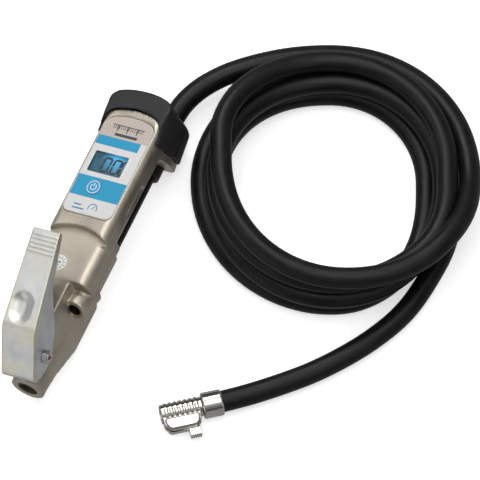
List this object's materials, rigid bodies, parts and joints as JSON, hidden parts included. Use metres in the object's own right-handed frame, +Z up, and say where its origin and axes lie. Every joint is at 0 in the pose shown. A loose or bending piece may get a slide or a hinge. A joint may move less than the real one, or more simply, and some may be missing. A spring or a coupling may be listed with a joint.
{
  "type": "tyre inflator with gauge",
  "caption": "Handheld digital tyre inflator: die-cast body, thumb trigger, LCD gauge, coiled rubber hose and clip-on valve connector.",
  "frame": {"origin": "on the bench under the middle of the tool's footprint, the hose and its connector left out", "axes": "+Y from the air inlet towards the cap, along the tool; +Z up from the bench; +X towards the coiled hose"},
  "size_m": [0.2496, 0.3204, 0.088],
  "materials": {
    "cast_zinc": "satin die-cast zinc under a clear lacquer",
    "panel_plastic": "satin moulded plastic",
    "label_film": "printed label film",
    "display_window": "clear window with a blue tint",
    "display": "liquid-crystal cell with a blue backlight",
    "board": "green circuit board",
    "steel": "plain steel",
    "brass": "turned brass",
    "black_plastic": "black moulded plastic",
    "cell_sleeve": "printed cell sleeve",
    "contact_plate": "nickel-plated spring steel",
    "key_blue": "blue key with a white ring",
    "cap_rubber": "matt charcoal rubber",
    "black_rubber": "black rubber",
    "hose_rubber": "smooth black rubber",
    "sinter": "porous sintered bronze",
    "zinc_plate": "bright zinc-plated sheet steel",
    "chrome": "bright nickel-chrome plate",
    "satin_plate": "satin plated steel",
    "paper": "white paper sticker"
  },
  "bodies": {
    "inflator": {"body_casting": "cast_zinc", "face_plate": "panel_plastic", "face_label": "label_film", "lcd_window": "display_window", "lcd_panel": "display", "circuit_board": "board", "pressure_sensor": "steel", "sensor_tube": "brass", "battery_tray": "black_plastic", "batteries": "cell_sleeve", "battery_contacts": "contact_plate", "battery_cover": "black_plastic", "cover_screws": "steel", "rubber_cap": "cap_rubber", "hose_grommet": "black_rubber", "hose_adaptor": "brass", "inlet_filter": "sinter", "filter_clip": "steel", "valve_nut": "brass", "plunger_seal": "black_rubber", "valve_spring": "steel", "exhaust_silencer": "sinter", "date_sticker": "paper", "lever_bolt": "steel", "lever_nut": "steel", "hose_lead": "hose_rubber", "hose_coil": "hose_rubber", "hose_tail": "hose_rubber", "hose_ferrule": "chrome", "connector_body": "chrome", "connector_cheeks": "satin_plate", "connector_seal": "black_rubber", "depressor_pin": "brass", "clip_pin": "steel", "clip_spring": "steel"},
    "trigger": {"trigger_lever": "zinc_plate"},
    "plunger": {"valve_plunger": "brass"},
    "key": {"power_key": "key_blue"},
    "clip": {"clip_latch": "chrome"}
  },
  "joints": [
    {"name": "trigger_pivot", "type": "hinge", "parent": "inflator", "child": "trigger", "pos_m": [0.00037, -0.0882, 0.04079], "axis": [-0.9239, 0, -0.3827], "range_deg": [0, 10], "stiffness_Nm_per_rad": 1.1, "springref_deg": -8.59},
    {"name": "plunger_slide", "type": "slide", "parent": "inflator", "child": "plunger", "axis": [0.3827, 0, -0.9239], "range_m": [0, 0.0043], "stiffness_N_per_m": 600, "springref_m": -0.004, "deforming": ["valve_spring"]},
    {"name": "key_press", "type": "slide", "parent": "inflator", "child": "key", "axis": [0.3827, 0, -0.9239], "range_m": [0, 0.0006], "stiffness_N_per_m": 1500, "springref_m": -0.0002},
    {"name": "clip_hinge", "type": "hinge", "parent": "inflator", "child": "clip", "pos_m": [0.10927, -0.07871, 0.0088], "axis": [0, 0, 1], "range_deg": [0, 5], "stiffness_Nm_per_rad": 0.3, "springref_deg": -5.73, "deforming": ["clip_spring"]}
  ],
  "couplings": [
    {"joint": "plunger_slide", "follows": "trigger_pivot", "m_per_rad": 0.0239}
  ]
}
